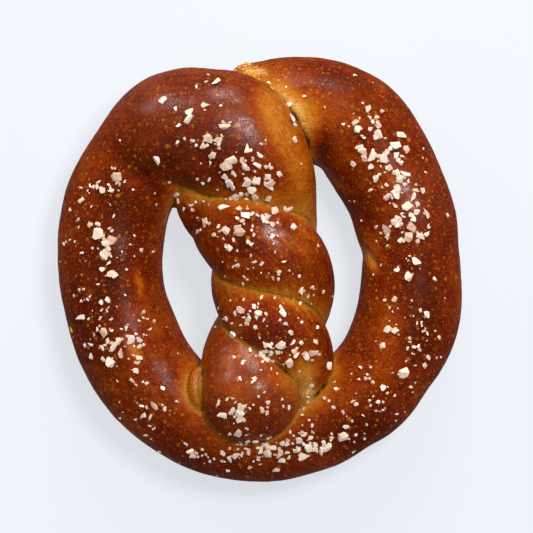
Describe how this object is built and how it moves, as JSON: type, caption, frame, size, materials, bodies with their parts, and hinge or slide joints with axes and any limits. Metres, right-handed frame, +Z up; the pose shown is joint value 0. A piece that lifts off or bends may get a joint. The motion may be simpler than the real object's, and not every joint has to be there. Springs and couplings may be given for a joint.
{
  "type": "soft pretzel",
  "caption": "Baked soft pretzel: a thick rope of dough looped into a ring, its ends crossed, twisted down the middle and pressed onto the ring, open at each side of the twist.",
  "frame": {"origin": "middle of the footprint, on the surface it lies on", "axes": "+X to the right, +Y towards the crossing of the rope's ends, +Z up, out of the salted side"},
  "size_m": [0.122, 0.1297, 0.0423],
  "materials": {
    "crust": "baked, lye-browned crust with an uneven satin shine",
    "salt": "coarse white salt, from opaque to slightly clear"
  },
  "bodies": {
    "root": {"pretzel": "crust"}
  },
  "joints": []
}
